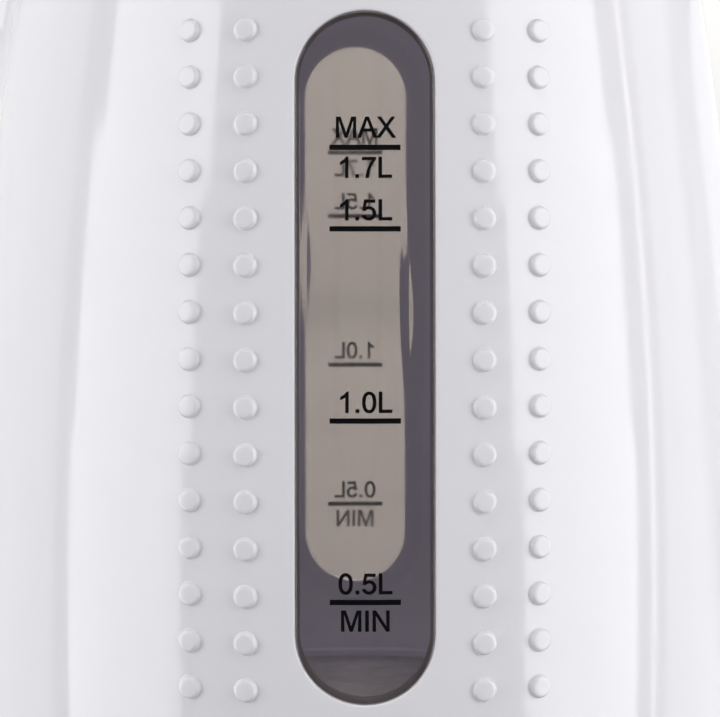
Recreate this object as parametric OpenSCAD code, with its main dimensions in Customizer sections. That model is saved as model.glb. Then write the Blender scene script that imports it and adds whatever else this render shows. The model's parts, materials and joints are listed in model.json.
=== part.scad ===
// Cordless electric kettle, 1.7 litre, on a round power base.
// The origin is on the jug's axis, on the surface that the base stands on.
// +Z is up, the spout points along -X, the handle is at +X and the two gauge windows face -Y and +Y.

/* [Jug] */
// Largest outer radius of the jug
body_r = 75; // [73:0.5:76]
// Height of the jug's widest point above the table
belly_z = 70; // [66:1:74]
// Radius of the arc that draws the jug's side
side_arc = 760; // [740:10:900]
// Thickness of the moulded walls
wall = 2.5; // [2:0.1:2.8]
// Height of the top of the collar round the lid
rim_z = 220.6; // [220:0.2:221]

/* [Gauge window] */
// Width of the window
window_w = 24; // [20:0.5:26]
// Height of the window
window_h = 118; // [100:1:122]
// Height of the window's middle above the table
window_z = 125; // [120:1:128]

/* [Grip dots] */
// Rows of dots beside each window
dot_rows = 15; // [3:1:15]
// Spacing of the rows
dot_pitch = 8.05; // [7:0.05:8.2]
// Sideways distance from the window's middle to the inner column
dot_inner_x = 20.4; // [19:0.1:22]
// Sideways distance from the window's middle to the outer column
dot_outer_x = 30.1; // [28:0.1:33]
// Radius of a dot at its foot
dot_r = 2.1; // [1.6:0.1:2.4]
// Height of a dot above the wall
dot_h = 0.9; // [0.5:0.1:1.2]

/* [Handle] */
// How far the handle's centreline reaches past its roots
handle_reach = 46; // [42:1:48]
// Half of the height between the handle's two arms
handle_half = 73; // [70:1:74]
// Half of the handle's width across the hand
grip_half_w = 12.5; // [11:0.5:13]
// Half of the handle's thickness
grip_half_t = 10; // [9:0.5:11]

/* [Power base] */
// Outer radius of the power base
base_r = 78; // [77:0.5:80]
// Height of the ring that the jug stands on
base_top = 19.6; // [19.4:0.1:19.7]

/* [Hidden] */
$fn = 96;
fine = 256;

// heights of the jug
foot_z = 20;
shell_top = 212;
ledge_z = 52.5;
ledge_top = 55;
spout_top = 221;

// lid and its hinge
lid_bore = 50.5;
hinge_x = 54;
hinge_z = 215.5;
pin_r = 1.5;
tail_reach = 11;
lid_r = 49.4;
lid_top = 228;
liner_r = 45.5;

// lid button and latch
button_x = 84;
button_r = 7;
latch_tip = 65.4;

// socket and tower
tower_r = 16.5;
tower_top = 33;
socket_r = 17.2;
socket_foot = 20.8;
socket_roof = 33.5;

// switch
switch_x = 62;
switch_z = 31.5;

// screws
screw_r = 1.2;
base_screw_r = 45;
cover_screw_r = 65;

function jug_r(z) = body_r - side_arc + sqrt(side_arc * side_arc - (z - belly_z) * (z - belly_z));

// A superellipse's coordinate: the sign is kept and the size goes up to the power p.
function curve(v, p) = sign(v) * pow(abs(v), p);

// ---- handle: a D loop whose centreline and section follow superellipses
handle_x = 66;
handle_z = 132;
handle_lean = 0.045;
handle_power = 0.72;
section_power = 0.78;
handle_skin = 2.2;

function handle_at(t) =
    let (z = handle_z + handle_half * curve(sin(t), handle_power))
    [handle_x + handle_reach * curve(cos(t), handle_power) + handle_lean * (z - handle_z), z];

// Centreline stations from the top root to the bottom root.
// A straight lead runs into the jug at each end.
handle_steps = 40;
handle_line = concat(
    [[52, handle_at(90)[1]]],
    [for (i = [0 : handle_steps]) handle_at(90 - 180 * i / handle_steps)],
    [[52, handle_at(-90)[1]]]
);

function unit(v) = v / norm(v);
function line_tangent(i) =
    unit(handle_line[min(i + 1, len(handle_line) - 1)] - handle_line[max(i - 1, 0)]);
function line_normal(i) = let (d = line_tangent(i)) [-d[1], d[0]];

// The arms grow towards the jug: 0 along the grip, 1 at a root.
function root_share(i) =
    let (s = abs(handle_line[i][1] - handle_z) / handle_half) pow(s, 6);
function half_thick(i) = grip_half_t + 1.5 * root_share(i);
function half_wide(i) = grip_half_w + 1.0 * root_share(i);

// A point of the section at station i: u runs from -90 to 90 on one side of the split plane.
function section_point(i, u, side, inset, gap) =
    let (
        n = line_normal(i) * side,
        out = max((half_thick(i) - inset) * curve(cos(u), section_power), gap),
        across = (half_wide(i) - inset) * curve(sin(u), section_power),
        p = handle_line[i] + n * out
    )
    [p[0], across, p[1]];

// One half of the hollow handle as a swept channel.
// side is 1 for the outer half and -1 for the inner half.
module handle_half_shell(side) {
    fold = 14;
    rings = len(handle_line);
    step = 180 / fold;
    ring = 2 * (fold + 1);
    points = [
        for (i = [0 : rings - 1])
            for (k = [0 : 2 * fold + 1])
                k <= fold
                    ? section_point(i, -90 + k * step, side, 0, 0.05)
                    : section_point(i, 90 - (k - fold - 1) * step, side, handle_skin, 0.05)
    ];
    sides = [
        for (i = [0 : rings - 2])
            for (k = [0 : ring - 1])
                [
                    i * ring + k,
                    (i + 1) * ring + k,
                    (i + 1) * ring + (k + 1) % ring,
                    i * ring + (k + 1) % ring
                ]
    ];
    first = [for (k = [0 : fold - 1]) [k, k + 1, ring - 2 - k, ring - 1 - k]];
    last = [for (f = first) [for (v = [3 : -1 : 0]) (rings - 1) * ring + f[v]]];
    faces = concat(sides, first, last);
    turned = [for (f = faces) [for (v = [3 : -1 : 0]) f[v]]];
    polyhedron(points, side < 0 ? faces : turned, convexity = 8);
}

// ---- shapes that repeat

// The jug's outer form between two heights, moved inwards by inset.
module jug_solid(inset, z0, z1) {
    rotate_extrude($fn = fine)
        intersection() {
            translate([body_r - side_arc, belly_z]) circle(side_arc - inset, $fn = 720);
            translate([0, z0]) square([body_r + 10, z1 - z0]);
        }
}

module ring(r_in, r_out, z0, z1) {
    translate([0, 0, z0])
        rotate_extrude($fn = fine) translate([r_in, 0]) square([r_out - r_in, z1 - z0]);
}

module disc(r, z0, z1) {
    translate([0, 0, z0]) cylinder(r = r, h = z1 - z0, $fn = fine);
}

// A slot with full-radius ends, standing in the XZ plane and cut along Y from y0 to y1.
module upright_slot(w, h, z_mid, y0, y1) {
    translate([0, y1, z_mid])
        rotate([90, 0, 0])
            linear_extrude(y1 - y0) {
                square([w, h - w], center = true);
                for (s = [-1, 1])
                    translate([0, s * (h - w) / 2]) circle(w / 2);
            }
}

module block(x0, x1, half_y, z0, z1) {
    translate([x0, -half_y, z0]) cube([x1 - x0, 2 * half_y, z1 - z0]);
}

module rod_y(r, half_y, x, z) {
    translate([x, half_y, z]) rotate([90, 0, 0]) cylinder(r = r, h = 2 * half_y, $fn = 48);
}

module rod_x(r, x0, x1, y, z) {
    translate([x0, y, z]) rotate([0, 90, 0]) cylinder(r = r, h = x1 - x0, $fn = 48);
}

// A screw that stands along +Z from the underside of its head.
module screw(head_r, head_h, shaft_r, shaft_l) {
    difference() {
        translate([0, 0, -head_h]) cylinder(r = head_r, h = head_h, $fn = 48);
        for (a = [0, 90])
            rotate(a) translate([-head_r * 0.6, -0.4, -head_h - 0.1]) cube([head_r * 1.2, 0.8, 0.7]);
    }
    cylinder(r = shaft_r, h = shaft_l, $fn = 48);
}

// A coil spring of round wire along +Z from z = 0.
module coil(coil_r, wire_r, turns, height) {
    sides = 6;
    per_turn = 14;
    rings = round(turns * per_turn);
    points = [
        for (i = [0 : rings])
            let (a = 360 * i / per_turn, z = wire_r + (height - 2 * wire_r) * i / rings)
            for (k = [0 : sides - 1])
                let (b = 360 * k / sides, r = coil_r + wire_r * cos(b))
                [r * cos(a), r * sin(a), z + wire_r * sin(b)]
    ];
    walls = [
        for (i = [0 : rings - 1])
            for (k = [0 : sides - 1])
                [
                    i * sides + k,
                    i * sides + (k + 1) % sides,
                    (i + 1) * sides + (k + 1) % sides,
                    (i + 1) * sides + k
                ]
    ];
    start = [for (k = [sides - 1 : -1 : 0]) k];
    end = [for (k = [0 : sides - 1]) rings * sides + k];
    polyhedron(points, concat(walls, [start, end]), convexity = 10);
}

// ---- power base

module base_cover_profile(inset) {
    edge = 6;
    translate([0, 2]) square([base_r - edge, base_top - 2 - inset]);
    translate([0, 2]) square([base_r - inset, base_top - edge - 2]);
    translate([base_r - edge, base_top - edge]) circle(edge - inset);
}

module base_cover() {
    dish_z = 16.6;
    boss_z = 17.4;
    color("white")
    difference() {
        union() {
            rotate_extrude($fn = fine)
                difference() {
                    base_cover_profile(0);
                    // the hollow under the rim, the dish floor and the middle boss
                    difference() {
                        base_cover_profile(wall);
                        translate([26 - wall, dish_z - wall]) square([38 + 2 * wall, 10]);
                        translate([0, boss_z - wall]) square([26, 10]);
                    }
                    translate([26, dish_z]) square([38, 10]);
                    translate([-1, boss_z]) square([27, 10]);
                    translate([-1, 0]) square([tower_r + 0.4 + 1, 30]);
                    translate([-1, 1]) square([base_r - wall + 1, 4.2]);
                }
            for (a = [60, 180, 300])
                rotate(a) translate([base_screw_r, 0, 5.2]) cylinder(r = 4, h = 9.4, $fn = 48);
        }
        for (a = [60, 180, 300])
            rotate(a) translate([base_screw_r, 0, 4]) cylinder(r = screw_r + 0.05, h = 9.5, $fn = 48);
        rod_x(4.8, base_r - 8, base_r + 2, 0, 10.8);
    }
}

module base_plate() {
    color("white")
    difference() {
        union() {
            disc(base_r - wall - 0.4, 2, 5);
            ring(8, 12, 5, 9);
            // winding lugs for spare lead, moulded on top of the plate
            for (a = [0 : 60 : 300])
                rotate(a) translate([30, -4, 5]) cube([2, 8, 5]);
        }
        ring(58, 66, 1, 3.5);
        for (a = [60, 180, 300])
            rotate(a) translate([base_screw_r, 0, 1]) {
                cylinder(r = 1.6, h = 5, $fn = 48);
                cylinder(r = 3.1, h = 2.5, $fn = 48);
            }
    }
}

module foot_ring() {
    color("dimgray")
    difference() {
        ring(58.1, 65.9, 0, 3.5);
        ring(61, 63, -1, 1.2);
    }
}

module base_screws() {
    color("silver")
    for (a = [60, 180, 300])
        rotate(a) translate([base_screw_r, 0, 3.5]) screw(2.8, 1.3, screw_r, 9);
}

// The insulated tower that the jug's socket drops over.
module base_tower() {
    color([0.16, 0.16, 0.17])
    difference() {
        union() {
            disc(tower_r, 9, tower_top - 1);
            translate([0, 0, tower_top - 1]) cylinder(r1 = tower_r, r2 = tower_r - 1, h = 1, $fn = fine);
            disc(21, 12.2, 14.8);
        }
        disc(2.4, 15, 40);
        ring(6.2, 8.6, 16, 40);
        ring(12.2, 14.6, 16, 40);
    }
}

module base_live_contact() { color("goldenrod") ring(1.9, 2.35, 15, 28); }
module base_neutral_contact() { color("goldenrod") ring(8.1, 8.55, 16, 28); }
module base_earth_contact() { color("goldenrod") ring(14.1, 14.55, 16, 30); }

module swivel_ring() {
    color([0.16, 0.16, 0.17])
    rotate_extrude($fn = fine) {
        translate([16.8, 17.7]) square([5.6, 2.3]);
        translate([17.4, 17.7]) square([2.4, 2.8]);
    }
}

module cord_gland() {
    color("white")
    difference() {
        union() {
            rod_x(4.75, 68, 80.2, 0, 10.8);
            rod_x(5.6, 78.3, 80, 0, 10.8);
            rod_x(5.5, 71.2, 73.4, 0, 10.8);
        }
        rod_x(3.6, 60, 90, 0, 10.8);
    }
}

// ---- jug

// The spout's form: a beak drawn between a column inside the jug, the tip and its root.
module spout_form(inset) {
    hull() {
        translate([-37, 0, 196 + inset]) cylinder(r = 26 - inset, h = spout_top + 1 - 196, $fn = 32);
        translate([-78.5, 0, 215 + inset]) cylinder(r = 5.5 - inset, h = spout_top + 1 - 215, $fn = 24);
        translate([-56, 0, 152 + inset * 2.4]) sphere(r = 10 - inset, $fn = 24);
    }
}

module grip_dots() {
    for (side = [-1, 1], x = [dot_inner_x, dot_outer_x], mirror_x = [-1, 1], row = [0 : dot_rows - 1]) {
        z = window_z - 0.5 + (row - (dot_rows - 1) / 2) * dot_pitch;
        lean = asin(x / jug_r(z));
        rotate([0, 0, side * 90 + mirror_x * lean])
            translate([jug_r(z) - 0.8, 0, z])
                rotate([0, 90, 0])
                    cylinder(r1 = dot_r + 0.1, r2 = dot_r - 0.5, h = 0.8 + dot_h, $fn = 12);
    }
}

module window_cuts(extra) {
    for (s = [-1, 1])
        upright_slot(window_w + extra, window_h + extra, window_z, s > 0 ? 50 : -90, s > 0 ? 90 : -50);
}

module body_shell() {
    color("white")
    difference() {
        union() {
            difference() {
                jug_solid(0, foot_z, shell_top);
                jug_solid(wall, foot_z - 1, shell_top + 1);
            }
            // ledge that the heating plate is pressed up against
            difference() {
                jug_solid(wall / 2, ledge_z, ledge_top);
                disc(66.4, ledge_z - 1, ledge_top + 1);
            }
            // pillars for the bottom cover's screws, which also carry the clamp ring
            for (a = [90, 210, 330])
                rotate(a) {
                    translate([cover_screw_r, 0, 24.6]) cylinder(r = 3.4, h = 23.2, $fn = 48);
                    translate([cover_screw_r, -1.2, 24.6]) cube([7.4, 2.4, 23.2]);
                }
            grip_dots();
        }
        window_cuts(0);
        // pouring hole behind the spout, where the filter clips in
        block(-70, -50, 9, 189, 206);
        // steam way into the handle, which the lid's tail also swings through
        block(50, 70, 6.5, 201.5, 213);
        // slot for the switch arm, and the lens hole above it
        block(68, 80, 6.5, 27, 36);
        rod_x(2.55, 66, 80, 0, 41);
        for (a = [90, 210, 330])
            rotate(a) translate([cover_screw_r, 0, 23]) cylinder(r = screw_r + 0.05, h = 14, $fn = 48);
    }
}

module spout() {
    color("white")
    difference() {
        intersection() {
            spout_form(0);
            translate([-100, -40, 140]) cube([100, 80, spout_top - 140]);
        }
        spout_form(wall);
        jug_solid(-0.02, 130, shell_top);
        jug_solid(-0.15, shell_top, 240);
    }
}

// The collar round the lid: it closes the top of the wall and carries the hinge.
module top_collar() {
    color("white")
    difference() {
        union() {
            difference() {
                union() {
                    jug_solid(0.05, shell_top, rim_z);
                    ring(56.8, 59.1, shell_top - 5, shell_top + 1);
                }
                disc(lid_bore, 200, 230);
                // seat that lets the lid's back edge swing out
                translate([0, 0, 216])
                    cylinder(r1 = lid_bore, r2 = 53, h = rim_z - 216 + 0.01, $fn = fine);
                // outer edge, rounded off as a small bevel
                rotate_extrude($fn = fine)
                    polygon([[58.4, rim_z + 0.1], [62, rim_z + 0.1], [62, rim_z - 3]]);
                block(40, 70, 10, 200, 230);
            }
            for (s = [-1, 1])
                translate([50.6, s > 0 ? 10 : -13, 206]) cube([7.4, 3, 11.5]);
        }
        // pouring gap in front
        block(-70, -40, 14.3, 200, 230);
        rod_y(pin_r + 0.05, 20, hinge_x, hinge_z);
    }
}

module gauge_pane(side) {
    color([0.33, 0.33, 0.37, 0.55])
    intersection() {
        difference() {
            jug_solid(0.05, 60, 190);
            jug_solid(wall, 59, 191);
        }
        upright_slot(window_w - 0.2, window_h - 0.2, window_z, side > 0 ? 50 : -90, side > 0 ? 90 : -50);
    }
}
module gauge_pane_near() { gauge_pane(-1); }
module gauge_pane_far() { gauge_pane(1); }

module gauge_seal(side) {
    color("gainsboro")
    intersection() {
        difference() {
            jug_solid(wall + 0.05, 58, 192);
            jug_solid(wall + 1.4, 57, 193);
        }
        difference() {
            upright_slot(window_w + 6, window_h + 6, window_z, side > 0 ? 50 : -90, side > 0 ? 90 : -50);
            upright_slot(window_w - 2, window_h - 2, window_z, side > 0 ? 40 : -95, side > 0 ? 95 : -40);
        }
    }
}
module gauge_seal_near() { gauge_seal(-1); }
module gauge_seal_far() { gauge_seal(1); }

// ---- heating and control, under the tank

module heating_plate() {
    color("silver")
    difference() {
        disc(70, 49.8, 51.2);
        translate([57, 0, 45]) cylinder(r = 4.05, h = 10, $fn = 48);
    }
}

module plate_seal() { color("dimgray") ring(66.4, 70, 51.2, 52.5); }

module clamp_ring() {
    color("gray")
    difference() {
        ring(66.5, 71.4, 47.8, 49.8);
        block(60, 75, 8, 47, 48.6);
    }
}

module heat_spreader() { color("lightgray") disc(50, 47.3, 49.8); }

module heating_tube() {
    color("silver")
    translate([0, 0, 44.05])
        rotate(30) rotate_extrude(angle = 300, $fn = fine) translate([40, 0]) circle(3.2);
}

module element_terminals() {
    color("silver")
    for (s = [-1, 1])
        rotate(s * 26.6) translate([40, 0, 35]) cylinder(r = 1.5, h = 11, $fn = 48);
}

module internal_leads() {
    color("firebrick")
    for (s = [-1, 1])
        rod_x(0.9, 24.1, 34, s * 16.9, 38);
}

module socket_housing() {
    color([0.16, 0.16, 0.17])
    {
        difference() {
            union() {
                disc(23.5, socket_foot, socket_roof + 3);
                disc(30, 24.5, 27);
            }
            disc(socket_r, socket_foot - 1, socket_roof);
        }
    }
}

module socket_pin() {
    color("goldenrod")
    translate([0, 0, 21]) cylinder(r1 = 0.9, r2 = 1.4, h = socket_roof - 21, $fn = 48);
}
module socket_neutral_blade() { color("goldenrod") ring(6.5, 7.7, 22, socket_roof); }
module socket_earth_blade() { color("goldenrod") ring(12.6, 13.7, 21, socket_roof); }

module control_unit() {
    color([0.85, 0.83, 0.78])
    difference() {
        union() {
            block(-20, 24, 18, socket_roof + 3, 41);
            block(-14, 18, 12, 41, 44);
        }
        block(-30, -16, 6, 38, 45);
    }
}

module dry_boil_discs() {
    color("goldenrod")
    for (s = [-1, 1])
        translate([2 + s * 9, 0, 44]) cylinder(r = 6, h = 0.8, $fn = 64);
}

module steam_tube() {
    color("white")
    difference() {
        translate([57, 0, 44]) cylinder(r = 4, h = 154, $fn = 64);
        translate([57, 0, 40]) cylinder(r = 2.8, h = 170, $fn = 64);
    }
}

module switch_housing() {
    color([0.85, 0.83, 0.78])
    difference() {
        block(50, 66, 10, 24.5, 41.5);
        block(45, 70, 7.6, 26.5, 39.5);
        rod_y(pin_r + 0.05, 20, switch_x, switch_z);
        translate([57, 0, 38]) cylinder(r = 1.25, h = 10, $fn = 48);
    }
}

module steam_bimetal() {
    color("goldenrod") translate([57, 0, 41.5]) cylinder(r = 6, h = 0.8, $fn = 64);
}

module trip_rod() {
    color("white") translate([57, 0, 34]) cylinder(r = 1.2, h = 7.5, $fn = 48);
}

module switch_pin() { color("silver") rod_y(pin_r, 10, switch_x, switch_z); }

module switch_spring() {
    color("silver") translate([53, 0, 26.5]) coil(2.2, 0.35, 3, 3.4);
}

module switch_lever() {
    color("white")
    difference() {
        union() {
            rod_y(3.8, 7.2, switch_x, switch_z);
            block(52, switch_x, 5, switch_z - 1, switch_z + 1);
            block(switch_x, 78, 5.5, switch_z - 1.6, switch_z + 1.6);
            // paddle with a thumb ridge on its end
            block(76, 87, 9, switch_z - 2, switch_z + 1.6);
            rod_y(2.4, 9, 87, switch_z + 0.4);
        }
        rod_y(pin_r + 0.05, 20, switch_x, switch_z);
    }
}

module indicator_lamp() { color("orange") rod_x(1.8, 67, 70.8, 0, 41); }
module indicator_lens() { color([0.9, 0.35, 0.15, 0.8]) rod_x(2.5, 70.8, 75.2, 0, 41); }

module bottom_cover() {
    color("white")
    difference() {
        disc(70.6, 22, 24.5);
        disc(24, 21, 26);
        ring(46, 52, 21, 22.8);
        for (a = [90, 210, 330])
            rotate(a) translate([cover_screw_r, 0, 21]) {
                cylinder(r = 1.6, h = 5, $fn = 48);
                cylinder(r = 3.1, h = 2.3, $fn = 48);
            }
    }
}

module bottom_screws() {
    color("silver")
    for (a = [90, 210, 330])
        rotate(a) translate([cover_screw_r, 0, 23.3]) screw(2.8, 1.2, screw_r, 12);
}

// ---- handle

handle_screw_z = [102, 162];
function grip_x(z) =
    let (s = pow(abs(z - handle_z) / handle_half, 1 / handle_power))
    handle_x + handle_reach * pow(cos(asin(s)), handle_power) + handle_lean * (z - handle_z);

module handle_outer() {
    color("white")
    difference() {
        union() {
            handle_half_shell(1);
            for (z = handle_screw_z)
                rod_x(3.2, grip_x(z) + 0.1, grip_x(z) + grip_half_t - 1, 0, z);
        }
        jug_solid(-0.15, 30, 240);
        for (z = handle_screw_z)
            rod_x(screw_r + 0.05, grip_x(z) - 1, grip_x(z) + 7, 0, z);
        translate([button_x, 0, 205.2]) cylinder(r = button_r + 0.35, h = 20, $fn = 64);
    }
}

module handle_inner() {
    color("whitesmoke")
    difference() {
        union() {
            handle_half_shell(-1);
            for (z = handle_screw_z)
                rod_x(3.6, grip_x(z) - grip_half_t + 1, grip_x(z) - 0.1, 0, z);
        }
        jug_solid(-0.15, 30, 240);
        for (z = handle_screw_z) {
            rod_x(1.6, grip_x(z) - 12, grip_x(z) + 1, 0, z);
            rod_x(3.0, grip_x(z) - 12, grip_x(z) - 5, 0, z);
        }
    }
}

module handle_screws() {
    color("silver")
    for (z = handle_screw_z)
        translate([grip_x(z) - 5, 0, z]) rotate([0, 90, 0]) screw(2.8, 1.4, screw_r, 11);
}

// ---- lid button and latch

module latch_carrier() {
    color("whitesmoke")
    difference() {
        block(69, 96, 8.2, 201.4, 207.2);
        block(60, 92.5, 6.8, 203.6, 210);
        block(92, 95, 4, 203.6, 210);
    }
}

module lid_latch() {
    color("whitesmoke")
    difference() {
        union() {
            block(latch_tip, 72, 4.5, 206.4, 210.1);
            block(70, 89, 6.5, 203.9, 207.2);
        }
        block(77.4, 88 - 0.4, 3.9, 203, 212);
        translate([latch_tip - 1, 0, 0]) rotate([90, 0, 0])
            linear_extrude(20, center = true) polygon([[0, 206], [3, 206], [0, 209]]);
    }
}

module latch_spring() {
    color("silver") translate([89.1, 0, 205.6]) rotate([0, 90, 0]) coil(1.5, 0.25, 3, 3.3);
}

module lid_button() {
    color("gainsboro")
    union() {
        translate([button_x, 0, 211.3]) cylinder(r = button_r, h = 5, $fn = 96);
        translate([button_x, 0, 216.3]) cylinder(r1 = button_r, r2 = button_r - 1, h = 1.2, $fn = 96);
        translate([button_x, 0, 207.4]) cylinder(r = 1.7, h = 4, $fn = 48);
    }
}

module button_spring() {
    color("silver") translate([button_x, 0, 203.7]) coil(2.7, 0.35, 3, 7.5);
}

// ---- lid

module dome_profile(inset, z_foot) {
    arc = 191;
    intersection() {
        translate([0, lid_top - arc]) circle(arc - inset, $fn = 720);
        translate([0, z_foot]) square([lid_r - inset, 30]);
    }
}

module lid_cover() {
    color("white")
    difference() {
        union() {
            rotate_extrude($fn = fine)
                difference() {
                    dome_profile(0, 218.5);
                    dome_profile(wall, 210);
                }
            for (a = [60, 180, 300])
                rotate(a) translate([30, 0, 211.1]) cylinder(r = 3.2, h = 12.5, $fn = 48);
            // hinge knuckles and their web up to the rim
            rod_y(4.2, 9.4, hinge_x, hinge_z);
            block(46.4, hinge_x, 9.4, 213, 219.7);
            // tongue that closes the spout, all but its tip
            translate([0, 0, 218.6])
                linear_extrude(2.2)
                    polygon([
                        [-47, -13.9],
                        [-58.7, -13.9],
                        [-66, -9.7],
                        [-66, 9.7],
                        [-58.7, 13.9],
                        [-47, 13.9]
                    ]);
            // tail that the latch holds down
            block(hinge_x, hinge_x + tail_reach, 5.5, 210.4, 213.2);
        }
        for (a = [60, 180, 300])
            rotate(a) translate([30, 0, 211]) cylinder(r = screw_r + 0.05, h = 10, $fn = 48);
        rod_y(pin_r + 0.05, 20, hinge_x, hinge_z);
        block(50.4, 58.4, 3.2, 208, 225);
    }
}

module lid_liner() {
    color("whitesmoke")
    difference() {
        union() {
            ring(liner_r - 2, liner_r, 210, 220);
            disc(liner_r, 209, 211);
        }
        for (a = [60, 180, 300])
            rotate(a) translate([30, 0, 205]) cylinder(r = 1.6, h = 10, $fn = 48);
    }
}

module lid_seal() {
    color("gray")
    difference() {
        ring(liner_r + 0.05, 48.6, 213.4, 215.2);
        block(40, 60, 9.6, 212, 217);
    }
}

module lid_screws() {
    color("silver")
    for (a = [60, 180, 300])
        rotate(a) translate([30, 0, 209]) screw(2.8, 1.3, screw_r, 10.5);
}

module lid_pin() { color("silver") rod_y(pin_r, 12.8, hinge_x, hinge_z); }

module lid_spring() {
    color("silver") translate([hinge_x, -2.6, hinge_z]) rotate([-90, 0, 0]) coil(2.4, 0.4, 4, 5.2);
}

// ---- filter

module filter_frame() {
    color("gainsboro")
    difference() {
        union() {
            block(-57.4, -55, 14, 185, 206.3);
            block(-61, -57, 8.6, 189.4, 205.6);
        }
        block(-70, -50, 7, 191, 204);
    }
}

module filter_mesh() {
    color("silver")
    translate([-58.2, 0, 197.5])
        rotate([90, 0, 90])
            linear_extrude(0.4)
                difference() {
                    square([13.96, 12.96], center = true);
                    for (i = [0 : 6], k = [0 : 6])
                        translate([(i - 3) * 1.8, (k - 3) * 1.7]) square(1.2, center = true);
                }
}

base_cover();
base_plate();
foot_ring();
base_screws();
base_tower();
base_live_contact();
base_neutral_contact();
base_earth_contact();
cord_gland();
swivel_ring();
body_shell();
spout();
top_collar();
gauge_pane_near();
gauge_pane_far();
gauge_seal_near();
gauge_seal_far();
heating_plate();
plate_seal();
clamp_ring();
heat_spreader();
heating_tube();
element_terminals();
internal_leads();
socket_housing();
socket_pin();
socket_neutral_blade();
socket_earth_blade();
control_unit();
dry_boil_discs();
steam_tube();
switch_housing();
steam_bimetal();
trip_rod();
switch_pin();
switch_spring();
switch_lever();
indicator_lamp();
indicator_lens();
bottom_cover();
bottom_screws();
handle_outer();
handle_inner();
handle_screws();
latch_carrier();
lid_latch();
latch_spring();
lid_button();
button_spring();
lid_cover();
lid_liner();
lid_seal();
lid_screws();
lid_pin();
lid_spring();
filter_frame();
filter_mesh();
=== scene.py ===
import json
import math

import bmesh
import bpy
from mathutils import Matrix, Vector
from mathutils.geometry import tessellate_polygon
from mathutils.noise import noise


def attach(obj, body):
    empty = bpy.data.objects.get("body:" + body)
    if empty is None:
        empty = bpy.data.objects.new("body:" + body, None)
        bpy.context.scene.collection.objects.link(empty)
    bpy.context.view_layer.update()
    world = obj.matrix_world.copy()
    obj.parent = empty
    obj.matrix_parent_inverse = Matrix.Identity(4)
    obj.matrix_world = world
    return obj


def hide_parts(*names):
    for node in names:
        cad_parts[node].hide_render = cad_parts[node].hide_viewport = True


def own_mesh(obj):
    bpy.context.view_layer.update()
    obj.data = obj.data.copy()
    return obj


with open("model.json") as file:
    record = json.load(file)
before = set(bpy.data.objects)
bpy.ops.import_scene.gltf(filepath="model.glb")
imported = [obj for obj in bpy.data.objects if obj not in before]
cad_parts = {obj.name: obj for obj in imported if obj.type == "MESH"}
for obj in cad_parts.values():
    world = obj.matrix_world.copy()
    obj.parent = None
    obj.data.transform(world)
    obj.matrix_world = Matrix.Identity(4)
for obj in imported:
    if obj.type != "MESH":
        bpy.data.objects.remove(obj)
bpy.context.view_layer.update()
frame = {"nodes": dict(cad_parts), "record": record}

MM = 0.001
nodes = frame["nodes"]

# ---------------------------------------------------------------- dimensions in mm, as in part.scad

BODY_R = 75.0  # outer radius at the belly
BELLY_Z = 70.0
SIDE_ARC = 760.0  # radius of the bow of the jug's side
WALL = 2.5
FOOT_Z = 20.0
SHELL_TOP = 212.0

WINDOW_W = 24.0
WINDOW_H = 118.0
WINDOW_Z = 125.0
HALF_RUN = (WINDOW_H - WINDOW_W) / 2  # from the window's middle to the middle of a round end

SPOUT_TOP = 221.0
SPOUT_FOOT_Z = 150.0
SPOUT_REACH = 84.0  # from the jug's axis to the tip
SPOUT_TIP_R = 5.5
SPOUT_ROOT_X = 37.0  # middle of the round root that the outline's straight sides leave from
SPOUT_ROOT_R = 13.0  # the root's radius at the spout's foot
SPOUT_SPREAD = 13.0  # how much that radius grows up to the top
SPOUT_LEAN_POWER, SPOUT_SPREAD_POWER = 1.35, 0.8  # how reach and spread grow with height
SPOUT_SUNK = 1.5  # how deep in the wall the spout starts at its foot
SPOUT_SPAN = 60  # half the angle that the spout may take up, in degrees
SPOUT_BLEND = 3.0  # radius of the blend between spout and wall


def jug_r(z):
    return BODY_R - SIDE_ARC + math.sqrt(SIDE_ARC ** 2 - (z - BELLY_Z) ** 2)


def clamp(v, lo=0.0, hi=1.0):
    return max(lo, min(hi, v))


def ease(v):
    v = clamp(v)
    return v * v * (3 - 2 * v)


def curve(v, p):
    """v raised to p, with v's sign."""
    return math.copysign(abs(v) ** p, v)


def smooth_max(a, b, k):
    h = clamp(0.5 + 0.5 * (a - b) / k)
    return a * h + b * (1 - h) + k * h * (1 - h)


def spout_r(phi, z):
    """Radius of the spout's outline at angle phi (degrees, 0 at -Y, -90 at the spout)."""
    f = (z - SPOUT_FOOT_Z) / (SPOUT_TOP - SPOUT_FOOT_Z)
    psi = abs(phi + 90)
    if f <= 0 or psi > SPOUT_SPAN:
        return 0.0
    start = jug_r(z) - SPOUT_SUNK
    reach = start + (SPOUT_REACH - start) * min(f, 1) ** SPOUT_LEAN_POWER
    root_r = SPOUT_ROOT_R + SPOUT_SPREAD * min(f, 1) ** SPOUT_SPREAD_POWER
    b = reach - SPOUT_TIP_R
    sin_a = (root_r - SPOUT_TIP_R) / (b - SPOUT_ROOT_X)
    cos_a = math.sqrt(1 - sin_a ** 2)
    c, s = math.cos(math.radians(psi)), math.sin(math.radians(psi))
    t = (SPOUT_ROOT_X * sin_a + root_r) / (c * sin_a + s * cos_a)
    if t * c > b + SPOUT_TIP_R * sin_a:
        t = b * c + math.sqrt(max(b * b * c * c - b * b + SPOUT_TIP_R ** 2, 0))
    return t


def shell_r(phi, z):
    return smooth_max(jug_r(z), spout_r(phi, z), SPOUT_BLEND)


def polar(phi, r, z):
    a = math.radians(phi)
    return Vector((r * math.sin(a), -r * math.cos(a), z))


def facing(p, side):
    """A point of the near side (side -1), or the same point turned half round the jug (side 1)."""
    return p if side < 0 else Vector((-p.x, -p.y, p.z))


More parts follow.
